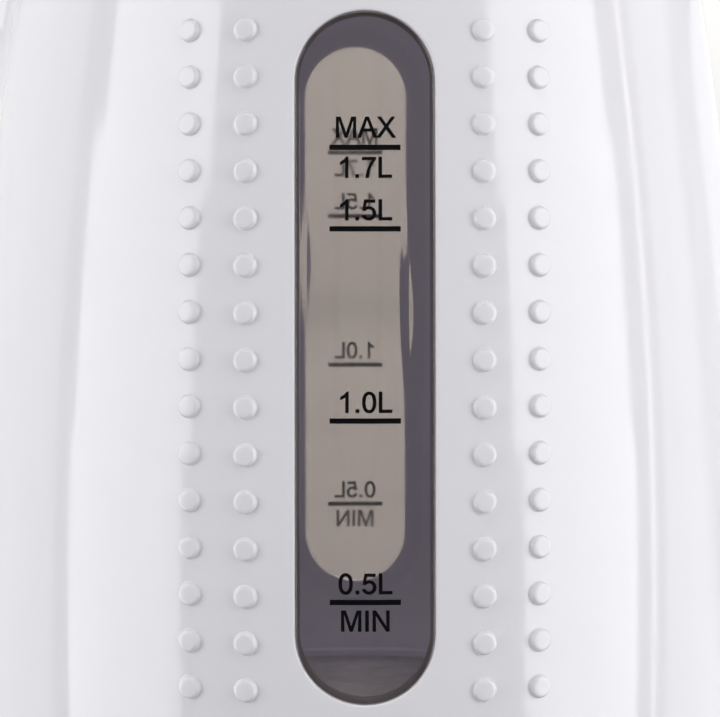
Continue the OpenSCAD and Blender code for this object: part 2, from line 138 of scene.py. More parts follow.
def under_skin(x, z, depth, side):
    """The point at (x, z) in the front view that lies this deep under the jug's outer skin."""
    r = jug_r(z) - depth
    return facing(Vector((x, -math.sqrt(r * r - x * x), z)), side)


# ---------------------------------------------------------------- mesh helpers

SHARP_ANGLE = 38  # edges that turn more than this, in degrees, are shown sharp


def finish_mesh(name, verts, faces, mats, body, hides=(), face_mats=None, merge=0.002):
    """Makes a piece from points in mm, merges doubles, turns its faces outwards and puts it on its body."""
    mesh = bpy.data.meshes.new(name)
    bm = bmesh.new()
    vs = [bm.verts.new(Vector(v) * MM) for v in verts]
    for i, f in enumerate(faces):
        if len(set(f)) < 3:
            continue
        try:
            face = bm.faces.new([vs[k] for k in f])
        except ValueError:  # the face is there already
            continue
        face.material_index = face_mats[i] if face_mats else 0
        face.smooth = True
    bmesh.ops.remove_doubles(bm, verts=bm.verts, dist=merge * MM)
    bmesh.ops.dissolve_degenerate(bm, dist=merge * MM * 0.5, edges=bm.edges)
    loose = [v for v in bm.verts if not v.link_faces]
    bmesh.ops.delete(bm, geom=loose, context="VERTS")
    bmesh.ops.recalc_face_normals(bm, faces=bm.faces)
    bm.to_mesh(mesh)
    bm.free()
    obj = bpy.data.objects.new(name, mesh)
    bpy.context.scene.collection.objects.link(obj)
    for m in mats if isinstance(mats, (list, tuple)) else [mats]:
        mesh.materials.append(m)
    mesh.set_sharp_from_angle(angle=math.radians(SHARP_ANGLE))
    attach(obj, body)
    if hides:
        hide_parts(*hides)
    return obj


def thick_sheet(outer, inner, faces):
    """A closed skin: the outer sheet, the same sheet inwards, and walls along every open edge."""
    n = len(outer)
    edges = dict.fromkeys((a, b) for f in faces for a, b in zip(f, f[1:] + f[:1]))
    out = list(faces) + [tuple(n + k for k in reversed(f)) for f in faces]
    kinds = [0] * len(faces) + [1] * len(faces)
    for a, b in edges:
        if (b, a) not in edges:
            out.append((b, a, n + a, n + b))
            kinds.append(0)
    return list(outer) + list(inner), out, kinds


# ---------------------------------------------------------------- materials


def material(name, color, rough, metallic=0.0, mottle=0.02, mottle_scale=60.0, rough_var=0.06,
             bump=0.0, bump_scale=400.0, stretch=(1, 1, 1), **sockets):
    """A Principled material whose colour, roughness and bump vary by noise in object space.

    mottle is the share by which the colour varies, bump is a depth in mm, and sockets are set as they are.
    """
    mat = bpy.data.materials.new(name)
    mat.use_nodes = True
    nt = mat.node_tree
    bsdf = nt.nodes["Principled BSDF"]
    bsdf.inputs["Metallic"].default_value = metallic
    for key, value in sockets.items():
        bsdf.inputs[key.replace("_", " ")].default_value = value
    coord = nt.nodes.new("ShaderNodeTexCoord")
    mapping = nt.nodes.new("ShaderNodeMapping")
    mapping.inputs["Scale"].default_value = stretch
    nt.links.new(coord.outputs["Object"], mapping.inputs["Vector"])

    def noise_value(scale, detail):
        n = nt.nodes.new("ShaderNodeTexNoise")
        n.inputs["Scale"].default_value = scale
        n.inputs["Detail"].default_value = detail
        nt.links.new(mapping.outputs["Vector"], n.inputs["Vector"])
        return n.outputs["Fac"]

    def ramp(source, low, high):
        """Spreads a noise value, which lies mostly between 0.3 and 0.7, from low to high."""
        r = nt.nodes.new("ShaderNodeMapRange")
        r.inputs["From Min"].default_value = 0.3
        r.inputs["From Max"].default_value = 0.7
        r.inputs["To Min"].default_value = low
        r.inputs["To Max"].default_value = high
        nt.links.new(source, r.inputs["Value"])
        return r.outputs["Result"]

    mix = nt.nodes.new("ShaderNodeMix")
    mix.data_type = "RGBA"
    mix.inputs["A"].default_value = (*[clamp(c * (1 - mottle)) for c in color], 1)
    mix.inputs["B"].default_value = (*[clamp(c * (1 + mottle)) for c in color], 1)
    nt.links.new(ramp(noise_value(mottle_scale, 3.0), 0, 1), mix.inputs["Factor"])
    nt.links.new(mix.outputs["Result"], bsdf.inputs["Base Color"])
    polish = ramp(noise_value(mottle_scale * 2.3, 4.0), max(rough - rough_var, 0.02), rough + rough_var)
    nt.links.new(polish, bsdf.inputs["Roughness"])
    if bump:
        b = nt.nodes.new("ShaderNodeBump")
        b.inputs["Strength"].default_value = 1.0
        b.inputs["Distance"].default_value = bump * MM
        nt.links.new(noise_value(bump_scale, 3.0), b.inputs["Height"])
        nt.links.new(b.outputs["Normal"], bsdf.inputs["Normal"])
    return mat


def pane_material(name, color):
    """Tinted clear plastic. Shadow rays pass through it, tinted, so light reaches what is behind it."""
    mat = material(name, color, 0.035, mottle=0.01, rough_var=0.02, IOR=1.5, Transmission_Weight=1.0)
    nt = mat.node_tree
    path = nt.nodes.new("ShaderNodeLightPath")
    clear = nt.nodes.new("ShaderNodeBsdfTransparent")
    clear.inputs["Color"].default_value = (*[c ** 0.5 for c in color], 1)
    mix = nt.nodes.new("ShaderNodeMixShader")
    nt.links.new(path.outputs["Is Shadow Ray"], mix.inputs["Fac"])
    nt.links.new(nt.nodes["Principled BSDF"].outputs["BSDF"], mix.inputs[1])
    nt.links.new(clear.outputs["BSDF"], mix.inputs[2])
    nt.links.new(mix.outputs["Shader"], nt.nodes["Material Output"].inputs["Surface"])
    return mat


WHITE = (0.725, 0.718, 0.760)
# painted glow: emission that stands in for the light that comes through the white wall from outside
PAINTED_WALL_GLOW = {"Emission_Color": (0.82, 0.76, 1.0, 1), "Emission_Strength": 0.066}

white_gloss = material("white_gloss_plastic", WHITE, 0.10, mottle=0.006, rough_var=0.03,
                       bump=0.004, bump_scale=120.0, IOR=1.5)
# painted glow: the inside of the wall gives off a faint emission in place of light coming through the white
# plastic
white_inside_painted_glow = material("white_plastic_inside_painted_glow", (0.74, 0.74, 0.78), 0.32, bump=0.01, **PAINTED_WALL_GLOW)
white_satin = material("white_satin_plastic", (0.76, 0.76, 0.77), 0.42, mottle=0.012,
                       bump=0.02, bump_scale=900.0)
grey_gloss = material("grey_gloss_plastic", (0.60, 0.61, 0.63), 0.16, mottle=0.01, bump=0.004)
black_plastic = material("black_nylon", (0.025, 0.025, 0.028), 0.38, mottle=0.15, bump=0.02, bump_scale=700.0)
cream_plastic = material("cream_plastic", (0.62, 0.57, 0.45), 0.45, mottle=0.05, bump=0.03)
steel = material("brushed_stainless", (0.56, 0.56, 0.55), 0.26, metallic=1.0, mottle=0.06, mottle_scale=90.0,
                 rough_var=0.1, bump=0.01, bump_scale=300.0, stretch=(1, 18, 1))
zinc = material("zinc_plated_steel", (0.58, 0.59, 0.60), 0.30, metallic=1.0,
                mottle=0.12, mottle_scale=400.0, rough_var=0.1)
aluminium = material("cast_aluminium", (0.68, 0.69, 0.70), 0.42, metallic=1.0, mottle=0.06,
                     bump=0.05, bump_scale=900.0)
brass = material("plated_brass", (0.80, 0.56, 0.24), 0.24, metallic=1.0, mottle=0.12, mottle_scale=300.0)
silicone = material("grey_silicone", (0.36, 0.37, 0.38), 0.55, mottle=0.06, bump=0.02)
# painted glow: the white seals carry the same emission as the wall's inside
white_seal_painted_glow = material("white_silicone_seal_painted_glow", (0.70, 0.70, 0.73), 0.4, mottle=0.03, bump=0.01, **PAINTED_WALL_GLOW)
# painted shade: the near seal's dark colour draws the gap shadow round the near pane
seal_painted_gap_shadow = material("near_seal_painted_gap_shadow", (0.30, 0.28, 0.31), 0.5, mottle=0.05, bump=0.01)
foot_rubber = material("grey_foot_rubber", (0.10, 0.10, 0.105), 0.66, mottle=0.15,
                       bump=0.05, bump_scale=1200.0)
lead_red = material("red_silicone_sleeve", (0.42, 0.03, 0.02), 0.5, mottle=0.1)
lens_amber = material("amber_lens", (0.95, 0.32, 0.08), 0.12, Transmission_Weight=0.6, IOR=1.49)
lamp_glass = material("lamp_glass", (0.95, 0.72, 0.5), 0.08, Transmission_Weight=0.8, IOR=1.5)
pane = pane_material("smoke_clear_plastic", (0.635, 0.595, 0.575))
ink = material("black_gauge_ink", (0.004, 0.004, 0.0045), 0.5, mottle=0.2, mottle_scale=900.0,
               rough_var=0.1, Specular_IOR_Level=0.05)
ink_back = material("gauge_ink_from_behind", (0.105, 0.12, 0.14), 0.5, mottle=0.1, mottle_scale=900.0,
                    rough_var=0.1, Specular_IOR_Level=0.05)

SLOT_MATERIAL = {
    "white_gloss": white_gloss, "window_clear": pane, "white_satin": white_satin, "grey_gloss": grey_gloss,
    "black_plastic": black_plastic, "cream_plastic": cream_plastic, "stainless": steel, "bright_steel": zinc,
    "aluminium": aluminium, "brass_contact": brass, "silicone": silicone, "foot_rubber": foot_rubber,
    "lead_red": lead_red, "lens_amber": lens_amber, "lamp_glass": lamp_glass,
}
# the far seal and the plate's seal are white and carry the painted glow; the near seal is painted dark, a
# fine line of painted gap shadow round the pane
NODE_MATERIAL = {"gauge_seal_far": white_seal_painted_glow, "plate_seal": white_seal_painted_glow, "gauge_seal_near": seal_painted_gap_shadow}

for part in frame["record"]["subparts"]:
    node = nodes[part["node"]]
    node.data.materials.clear()
    node.data.materials.append(NODE_MATERIAL.get(part["node"], SLOT_MATERIAL[part["material_slot"]]))

# ---------------------------------------------------------------- jug shell, windows and spout

COLS = 240  # columns round the jug
STEP = 360 / COLS  # degrees
PATCH = 9  # half width of the patch round a window, in columns
PATCH_LOW, PATCH_HIGH = 60.0, 190.0
FOOT_ROWS, PATCH_ROWS, TOP_ROWS = 16, 52, 10  # rows below, beside and above the patches
SPOUT_HALF = 11  # half width of the spout's lip, in columns
CHANNEL_Z, CHANNEL_RISE = 183.0, 6.0  # where the tank starts to open into the spout, and over what height
CHANNEL_WALL, CHANNEL_BLEND = WALL + 0.2, 2.0  # the spout's wall, and the radius of the blend inside

FOOT_EDGE = [(0.0, 1.0), (0.12, 0.55), (0.45, 0.2), (1.0, 0.0)]  # height above the foot, depth under the skin
SPOUT_LIP = [(6.5, 0.0), (4.0, 0.0), (1.4, 0.0), (0.55, 0.12), (0.15, 0.4),
             (0.0, 0.95)]  # below the spout's top, depth under the skin
WINDOW_RIM = [(0.0, 0.55), (0.04, 0.34), (0.13, 0.16), (0.27, 0.05),
              (0.46, 0.0), (0.9, 0.0), (1.8, 0.0)]  # beyond the opening, depth under the skin


def signed(phi):
    return phi if phi <= 180 else phi - 360


def evenly(low, high, steps):
    """Even steps from low, itself left out, up to high."""
    return [low + (high - low) * i / steps for i in range(1, steps + 1)]


def inner_r(phi, z):
    """The tank's wall, which opens out into the spout above its foot."""
    plain = jug_r(z) - WALL
    open_up = ease((z - CHANNEL_Z) / CHANNEL_RISE)
    channel = smooth_max(plain, spout_r(phi, z) - CHANNEL_WALL, CHANNEL_BLEND)
    return plain + (channel - plain) * open_up


def window_point(x, z, grow):
    """The point of the window's outline, grown by grow, that lies out from its middle line towards (x, z)."""
    cz = clamp(z, WINDOW_Z - HALF_RUN, WINDOW_Z + HALF_RUN)
    d = Vector((x, z - cz))
    d.normalize()
    return d.x * (WINDOW_W / 2 + grow), cz + d.y * (WINDOW_W / 2 + grow)


def jug_shell():
    """The tank's wall, open at its mouth and its two windows, with the spout blended into it."""
    rows = [(FOOT_Z + up, depth) for up, depth in FOOT_EDGE]
    rows += [(z, 0.0) for z in evenly(rows[-1][0], PATCH_LOW, FOOT_ROWS)]
    row_low = len(rows) - 1
    rows += [(z, 0.0) for z in evenly(PATCH_LOW, PATCH_HIGH, PATCH_ROWS)]
    row_high = len(rows) - 1
    rows += [(z, 0.0) for z in evenly(PATCH_HIGH, SHELL_TOP, TOP_ROWS)]
    outer, inner, faces = [], [], []
    index = {}

    def point(key, phi, z, depth):
        if key not in index:
            index[key] = len(outer)
            outer.append(polar(phi, shell_r(phi, z) - depth, z))
            inner.append(polar(phi, inner_r(phi, z), z))
        return index[key]

    def grid(col, row):
        col %= COLS
        return point(("grid", col, row), signed(col * STEP), *rows[row])

    def lip(col, row):
        """A point of the spout's lip, whose row 0 is the wall's top row."""
        if row == 0:
            return grid(col, len(rows) - 1)
        drop, depth = SPOUT_LIP[row - 1]
        return point(("lip", col, row), signed(col * STEP), SPOUT_TOP - drop, depth)

    def quad(corner, col, row):
        faces.append((corner(col, row), corner(col + 1, row), corner(col + 1, row + 1), corner(col, row + 1)))

    for col in range(COLS):
        for row in range(len(rows) - 1):
            in_patch = row_low <= row < row_high and (col + PATCH) % (COLS // 2) < 2 * PATCH
            if not in_patch:
                quad(grid, col, row)

    spout_col = COLS * 3 // 4
    for col in range(spout_col - SPOUT_HALF, spout_col + SPOUT_HALF):
        for row in range(len(SPOUT_LIP)):
            quad(lip, col, row)

    # each window's rim is joined to the patch left open for it
    ring = [(c, row_low) for c in range(-PATCH, PATCH)]
    ring += [(PATCH, r) for r in range(row_low, row_high)]
    ring += [(c, row_high) for c in range(PATCH, -PATCH, -1)]
    ring += [(-PATCH, r) for r in range(row_high, row_low, -1)]
    for side in (0, COLS // 2):
        loops = []
        for k, (grow, depth) in enumerate(WINDOW_RIM):
            loop = []
            for i, (c, r) in enumerate(ring):
                grid_z = rows[r][0]
                x, z = window_point(jug_r(grid_z) * math.sin(math.radians(c * STEP)), grid_z, grow)
                phi = math.degrees(math.asin(x / jug_r(z))) + side * STEP
                loop.append(point(("window", side, k, i), signed(phi), z, depth))
            loops.append(loop)
        loops.append([grid(side + c, r) for c, r in ring])
        for a, b in zip(loops, loops[1:]):
            for i in range(len(ring)):
                j = (i + 1) % len(ring)
                faces.append((a[i], b[i], b[j], a[j]))

    verts, skin, kinds = thick_sheet(outer, inner, faces)
    finish_mesh("jug_shell", verts, skin, [white_gloss, white_inside_painted_glow], "jug",
                hides=("body_shell", "spout"), face_mats=kinds)


jug_shell()

# ---------------------------------------------------------------- grip dots

DOT_ROWS = 15
DOT_PITCH = 8.05
DOT_X = (20.4, 30.1)
DOT_MIDDLE_Z = WINDOW_Z - 0.5
DOT_SIDES = 36
DOT_PROFILE = [(0.0, 0.90), (0.8, 0.90), (1.3, 0.895), (1.52, 0.87), (1.68, 0.80), (1.79, 0.69), (1.86, 0.55),
               (1.93, 0.30), (1.99, 0.10), (2.08, 0.02), (2.2, -0.03), (2.3, -0.10), (2.3, -0.5)]


def grip_dots():
    """Flat-topped dots in two columns on each side of each window, square to the jug's skin."""
    verts, faces = [], []

    def dot(x, z, side):
        phi = math.asin(x / jug_r(z))
        slope = math.asin((z - BELLY_Z) / SIDE_ARC)
        out = Vector((math.sin(phi) * math.cos(slope), -math.cos(phi) * math.cos(slope), math.sin(slope)))
        u = Vector((math.cos(phi), math.sin(phi), 0))
        v = out.cross(u)
        centre = polar(math.degrees(phi), jug_r(z), z)
        base = len(verts)
        for r, height in DOT_PROFILE:
            for s in range(DOT_SIDES):
                t = 2 * math.pi * s / DOT_SIDES
                verts.append(facing(centre + out * height + (u * math.cos(t) + v * math.sin(t)) * r, side))
        for k in range(len(DOT_PROFILE) - 1):
            lower, upper = base + k * DOT_SIDES, base + (k + 1) * DOT_SIDES
            for s in range(DOT_SIDES):
                q = (s + 1) % DOT_SIDES
                faces.append((lower + s, lower + q, upper + q, upper + s))
        faces.append(tuple(base + (len(DOT_PROFILE) - 1) * DOT_SIDES + s for s in range(DOT_SIDES)))

    for side in (-1, 1):
        for x in DOT_X:
            for hand in (-1, 1):
                for row in range(DOT_ROWS):
                    dot(hand * x, DOT_MIDDLE_Z + (row - (DOT_ROWS - 1) / 2) * DOT_PITCH, side)
    finish_mesh("grip_dots", verts, faces, white_gloss, "jug")


grip_dots()

# ---------------------------------------------------------------- gauge panes

PANE_GAP = 0.1  # between the pane and the window's opening
PANE_FACE = 0.12  # depth of the pane's face under the jug's skin
PANE_RIM = [(0.0, 0.55), (0.03, 0.36), (0.12, 0.2), (0.28, 0.14), (0.5, PANE_FACE), (1.0, PANE_FACE)]
PANE_SIDE, PANE_END = 64, 48  # steps along a straight side and round an end
PANE_LOOPS = 22  # between the rim and the middle line
PANE_FIRST, PANE_SHRINK = 0.88, 0.04  # size of the first such loop, and how much smaller each next one is

# slow waves in the pane's inner face: depth in mm, waves per mm across and along, layer of the noise
WAVES = [(0.016, 0.08, 0.03, 3.1), (0.002, 0.2, 0.08, 8.4)]
# sink marks in the same face: depth, middle x and z, half width and half height, in mm
RIPPLES = [(0.050, 7.3, 133.0, 0.75, 9.0), (0.022, 8.9, 139.0, 0.55, 14.0), (0.024, -9.9, 141.0, 0.7, 8.0),
           (0.016, 6.3, 141.0, 0.6, 10.0)]


def pane_wobble(x, z):
    """How far the moulded inside of a pane is out of true, in mm."""
    w = sum(size * noise(Vector((x * across, z * along, layer))) for size, across, along, layer in WAVES)
    for size, x0, z0, wide, tall in RIPPLES:
        w += size * math.exp(-((x - x0) / wide) ** 2 - ((z - z0) / tall) ** 2)
    return w


def pane_outline():
    """Round the pane: the direction from the middle line to each point, and the line's height there."""
    low, high = WINDOW_Z - HALF_RUN, WINDOW_Z + HALF_RUN
    heights = [low + (high - low) * i / PANE_SIDE for i in range(PANE_SIDE + 1)]
    turns = [math.pi * i / PANE_END for i in range(PANE_END)]
    around = [((1, 0), z) for z in heights[:-1]]
    around += [((math.cos(t), math.sin(t)), high) for t in turns]
    around += [((-1, 0), z) for z in reversed(heights[1:])]
    around += [((-math.cos(t), -math.sin(t)), low) for t in turns]
    return around


def make_pane(name, side, hides):
    """A clear pane that follows the jug's skin, as loops that shrink from its rim to its middle line."""
    around = pane_outline()
    n = len(around)
    half = WINDOW_W / 2 - PANE_GAP
    loops = [(half - g, d) for g, d in PANE_RIM]
    loops += [(half * (PANE_FIRST - PANE_SHRINK * i), PANE_FACE) for i in range(PANE_LOOPS)]
    loops.append((0.0, PANE_FACE))
    outer, inner, faces = [], [], []
    for r, depth in loops:
        for (dx, dz), cz in around:
            x, z = dx * r, cz + dz * r
            outer.append(under_skin(x, z, depth, side))
            inner.append(under_skin(x, z, WALL + pane_wobble(x, z), side))
    last = len(loops) - 1
    middle = {}

    def at(k, i):
        """Index of a loop's point. The last loop has shrunk to a line, which its two sides share."""
        if k < last:
            return k * n + i
        return middle.setdefault(round(around[i][1], 4), last * n + i)

    for k in range(last):
        for i in range(n):
            j = (i + 1) % n
            quad = (at(k, i), at(k, j), at(k + 1, j), at(k + 1, i))
            faces.append(tuple(dict.fromkeys(quad)))
    verts, skin, _ = thick_sheet(outer, inner, faces)
    finish_mesh(name, verts, skin, pane, "jug", hides=hides)


make_pane("gauge_pane_near_clear", -1, ("gauge_pane_near",))
make_pane("gauge_pane_far_clear", 1, ("gauge_pane_far",))

# ---------------------------------------------------------------- gauge marks


def arc(cx, cy, rx, ry, a0, a1, n, power=1.0):
    """Points of an oval stroke from angle a0 to a1. A power under 1 squares the oval off."""
    pts = []
    for i in range(n + 1):
        t = math.radians(a0 + (a1 - a0) * i / n)
        pts.append((cx + rx * curve(math.cos(t), power), cy + ry * curve(math.sin(t), power)))
    return pts


GLYPHS = {  # letter: (advance, outline, hole), in cap heights
    "M": (1.163, [(0.103, 0), (0.103, 1), (0.302, 1), (0.582, 0.21), (0.862, 1), (1.06, 1), (1.06, 0),
                  (0.935, 0), (0.935, 0.83), (0.645, 0), (0.52, 0), (0.228, 0.84), (0.228, 0)], None),
    "A": (0.931, [(0, 0), (0.385, 1), (0.53, 1), (0.933, 0), (0.787, 0), (0.672, 0.303), (0.252, 0.303),
                  (0.143, 0)],
          [(0.29, 0.411), (0.456, 0.885), (0.635, 0.411)]),
    "X": (0.931, [(0.006, 0), (0.394, 0.523), (0.052, 1), (0.21, 1), (0.47, 0.632), (0.73, 1), (0.875, 1),
                  (0.548, 0.54), (0.925, 0), (0.762, 0), (0.465, 0.42), (0.165, 0)], None),
    "N": (1.008, [(0.106, 0), (0.106, 1), (0.245, 1), (0.773, 0.214), (0.773, 1), (0.9, 1), (0.9, 0),
                  (0.763, 0), (0.234, 0.786), (0.234, 0)], None),
    "I": (0.388, [(0.13, 0), (0.13, 1), (0.262, 1), (0.262, 0)], None),
    "L": (0.777, [(0.102, 0), (0.102, 1), (0.235, 1), (0.235, 0.118), (0.727, 0.118), (0.727, 0)], None),
    "1": (0.777, [(0.522, 0), (0.397, 0), (0.397, 0.782), (0.32, 0.72), (0.152, 0.637), (0.152, 0.755),
                  (0.33, 0.865), (0.441, 1.004), (0.522, 1.004)], None),
    ".": (0.388, [(0.127, 0), (0.127, 0.14), (0.267, 0.14), (0.267, 0)], None),
    "7": (0.777, [(0.066, 0.868), (0.066, 0.986), (0.713, 0.986), (0.713, 0.891), (0.59, 0.72), (0.48, 0.52),
                  (0.405, 0.3), (0.375, 0.12), (0.37, 0), (0.242, 0), (0.26, 0.17), (0.315, 0.38),
                  (0.41, 0.6), (0.55, 0.868)], None),
    "0": (0.777, arc(0.388, 0.495, 0.33, 0.51, 0, 354, 40, 0.88),
          arc(0.388, 0.495, 0.2, 0.395, 0, 352, 30, 0.88)),
    "5": (0.777, [(0.17, 0.986), (0.675, 0.986), (0.675, 0.868), (0.27, 0.868), (0.216, 0.6)]
          + arc(0.375, 0.325, 0.345, 0.335, 112, -160, 26) + arc(0.375, 0.325, 0.213, 0.222, -156, 128, 22)
          + [(0.197, 0.462), (0.077, 0.475)], None),
}
CAP = 3.45  # height of a capital letter
BOLD = 0.024  # how far each stroke's edge is moved out, in cap heights
MITRE_LIMIT = 0.45  # keeps sharp corners from growing into spikes
LINES = [("MAX", 162.4), ("1.7L", 155.6), ("1.5L", 148.4), ("1.0L", 115.85), ("0.5L", 85.05), ("MIN", 78.7)]
BARS = [160.7, 146.9, 114.4, 83.6]
BAR_W, BAR_H, BAR_STEPS = 12.1, 0.9, 24
INK_FRONT, INK_BACK = 0.085, 0.13  # depths under the jug's skin, on both sides of the pane's face


def embolden(contour, grow):
    """Moves each corner of an outline out along its mitre. A negative grow shrinks a hole."""
    n = len(contour)
    area = 0.0
    for (x0, y0), (x1, y1) in zip(contour, contour[1:] + contour[:1]):
        area += x0 * y1 - x1 * y0
    turn = math.copysign(1, area)
    out = []
    for i in range(n):
        p, q, r = (Vector(contour[(i + k) % n]) for k in (-1, 0, 1))
        a, b = (q - p).normalized(), (r - q).normalized()
        mitre = Vector((a.y, -a.x)) * turn + Vector((b.y, -b.x)) * turn
        out.append(tuple(q + mitre * (grow / max(MITRE_LIMIT, mitre.length_squared / 2))))
    return out


def letter(ch):
    """A letter's points, in cap heights, and the triangles that fill it, all turning the same way."""
    _, outline, hole = GLYPHS[ch]
    contours = [embolden(outline, BOLD)] + ([embolden(hole, -BOLD)] if hole else [])
    points = [Vector((*p, 0)) for c in contours for p in c]
    tris = []
    for t in tessellate_polygon([[Vector((*p, 0)) for p in c] for c in contours]):
        a, b, c = (points[k] for k in t)
        tris.append(tuple(t) if (b - a).cross(c - a).z > 0 else tuple(reversed(t)))
    return points, tris


def bar(z0):
    """The points of a scale line's strip and its faces."""
    xs = [-BAR_W / 2 + BAR_W * i / BAR_STEPS for i in range(BAR_STEPS + 1)]
    points = [(x, z0 + dz * BAR_H) for x in xs for dz in (-0.5, 0.5)]
    return points, [(2 * i, 2 * i + 2, 2 * i + 3, 2 * i + 1) for i in range(BAR_STEPS)]


def print_gauge(name, side):
    """The words, numbers and lines of the litre scale on one pane."""
    verts, faces, kinds = [], [], []

    def lay(points, flat):
        """Lays an outline on the pane as a thin closed layer of ink, with a greyer back."""
        base, n = len(verts), len(points)
        verts.extend(under_skin(x, z, depth, side) for depth in (INK_FRONT, INK_BACK) for x, z in points)
        edges = dict.fromkeys((a, b) for f in flat for a, b in zip(f, f[1:] + f[:1]))
        for f in flat:
            faces.append(tuple(base + k for k in f))
            faces.append(tuple(base + n + k for k in reversed(f)))
            kinds.extend((0, 1))
        for a, b in edges:
            if (b, a) not in edges:
                faces.append((base + b, base + a, base + n + a, base + n + b))
                kinds.append(0)

    for text, z0 in LINES:
        x0 = -sum(GLYPHS[ch][0] for ch in text) * CAP / 2
        for ch in text:
            points, tris = letter(ch)
            lay([(x0 + p.x * CAP, z0 + p.y * CAP) for p in points], tris)
            x0 += GLYPHS[ch][0] * CAP
    for z0 in BARS:
        lay(*bar(z0))
    finish_mesh(name, verts, faces, [ink, ink_back], "jug", face_mats=kinds, merge=0.0005)


print_gauge("gauge_marks_near", -1)
print_gauge("gauge_marks_far", 1)

# ---------------------------------------------------------------- handle

HANDLE_X, HANDLE_Z = 66.0, 132.0  # middle of the handle's loop
HANDLE_REACH, HANDLE_HALF = 46.0, 73.0  # its half width and half height
HANDLE_LEAN = 0.045
HANDLE_ROOTS = (58.0, 62.0)  # where each arm starts, inside the jug's wall
HANDLE_STEPS, HANDLE_FOLD = 120, 40  # steps along the handle and round one half
LINE_POWER, SECTION_POWER = 0.72, 0.78  # under 1 squares the loop and the section off
SKIN = 2.2
GRIP_W, GRIP_T = 12.5, 10.0
ARM_WIDER, ARM_THICKER, ARM_POWER = 1.0, 1.5, 6  # how much an arm gains towards its root, and how late
ARM_SUNK = 0.3  # how deep in the jug's wall an arm ends
SHELL_EDGE = 0.06  # a half is at least this thick at its edge
SEAM, SEAM_SHARE = 0.25, 0.16  # depth of the groove between the halves, and how far up a half it reaches


def handle_at(t):
    t = math.radians(t)
    z = HANDLE_Z + HANDLE_HALF * curve(math.sin(t), LINE_POWER)
    x = HANDLE_X + HANDLE_REACH * curve(math.cos(t), LINE_POWER) + HANDLE_LEAN * (z - HANDLE_Z)
    return Vector((x, z))


def handle_half(name, side, mat, hides):
    """One shell of the handle, on its outer side (side 1) or its inner side (side -1)."""
    line = [handle_at(90 - 180 * i / HANDLE_STEPS) for i in range(HANDLE_STEPS + 1)]
    top, bottom = line[0].y, line[-1].y
    line = [Vector((x, top)) for x in HANDLE_ROOTS] + line
    line += [Vector((x, bottom)) for x in reversed(HANDLE_ROOTS)]
    verts, faces = [], []
    for i, p in enumerate(line):
        d = line[min(i + 1, len(line) - 1)] - line[max(i - 1, 0)]
        d.normalize()
        away = Vector((-d.y, d.x)) * side
        share = (abs(p.y - HANDLE_Z) / HANDLE_HALF) ** ARM_POWER
        thick, wide = GRIP_T + ARM_THICKER * share, GRIP_W + ARM_WIDER * share
        for inset, order in ((0.0, 1), (SKIN, -1)):
            for k in range(HANDLE_FOLD + 1):
                u = math.radians(-90 + 180 * k / HANDLE_FOLD) * order
                seam = SEAM * (1 - clamp(math.cos(u) / SEAM_SHARE)) if inset == 0 else 0
                out = max((thick - inset) * curve(max(math.cos(u), 0), SECTION_POWER), SHELL_EDGE)
                across = (wide - inset - seam) * curve(math.sin(u), SECTION_POWER)
                x, z = p + away * out
                # the arm stops on the jug's wall
                wall = math.sqrt(max((jug_r(z) - ARM_SUNK) ** 2 - across ** 2, 1))
                verts.append(Vector((max(x, wall), across, z)))
    m = 2 * (HANDLE_FOLD + 1)
    last = (len(line) - 1) * m
    for a in range(0, last, m):
        for k in range(m):
            j = (k + 1) % m
            faces.append((a + k, a + m + k, a + m + j, a + j))
    for a in (0, last):
        for k in range(HANDLE_FOLD):
            faces.append((a + k, a + k + 1, a + m - 2 - k, a + m - 1 - k))
    finish_mesh(name, verts, faces, mat, "jug", hides=hides)


handle_half("handle_outer_half", 1, white_gloss, ("handle_outer",))
handle_half("handle_inner_half", -1, white_satin, ("handle_inner",))

# ---------------------------------------------------------------- the button's spring

BUTTON_X = 84.0
SPRING_FOOT = 203.7
SPRING_RISE = 7.4
SPRING_R = 2.7
SPRING_WIRE = 0.33  # radius of the wire
SPRING_TURNS = 4.0
SPRING_FLAT = 0.1  # share of its length that lies flat at each end
SPRING_STEPS, WIRE_SIDES = 160, 10


def coil_spring(name, mat, hides):
    """A coil of round wire that lies flat at both ends."""
    verts, faces = [], []
    for i in range(SPRING_STEPS + 1):
        f = i / SPRING_STEPS
        a = 2 * math.pi * SPRING_TURNS * f
        turn = Vector((math.cos(a), math.sin(a), 0))
        climb = ease((f - SPRING_FLAT) / (1 - 2 * SPRING_FLAT))
        z = SPRING_FOOT + SPRING_WIRE + (SPRING_RISE - 2 * SPRING_WIRE) * climb
        centre = Vector((BUTTON_X, 0, z)) + turn * SPRING_R
        for k in range(WIRE_SIDES):
            b = 2 * math.pi * k / WIRE_SIDES
            across = turn * (SPRING_WIRE * math.cos(b))
            verts.append(centre + across + Vector((0, 0, SPRING_WIRE * math.sin(b))))
    last = SPRING_STEPS * WIRE_SIDES
    for a in range(0, last, WIRE_SIDES):
        for k in range(WIRE_SIDES):
            j = (k + 1) % WIRE_SIDES
            faces.append((a + k, a + WIRE_SIDES + k, a + WIRE_SIDES + j, a + j))
    faces.append(tuple(range(WIRE_SIDES)))
    faces.append(tuple(last + k for k in range(WIRE_SIDES)))
    return finish_mesh(name, verts, faces, mat, "jug", hides=hides)


# the real coil shortens as the button is pressed; this one only gets a mesh of its own
spring = coil_spring("button_coil", zinc, ("button_spring",))
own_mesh(spring)

# ---------------------------------------------------------------- floor, lights and camera, in metres

FLOOR_FLAT, FLOOR_BEND, FLOOR_HEIGHT = 2.7, 0.9, 3.0  # radius of the flat, of the bend, and the wall's height
FLOOR_RINGS = (0.9, 1.8)  # rings that divide the flat part
FLOOR_SIDES, FLOOR_BEND_STEPS = 96, 16
FLOOR_GLOW, FLOOR_GLOW_HEIGHT = 0.20, 0.6  # how strongly the wall glows, and the height where it reaches that


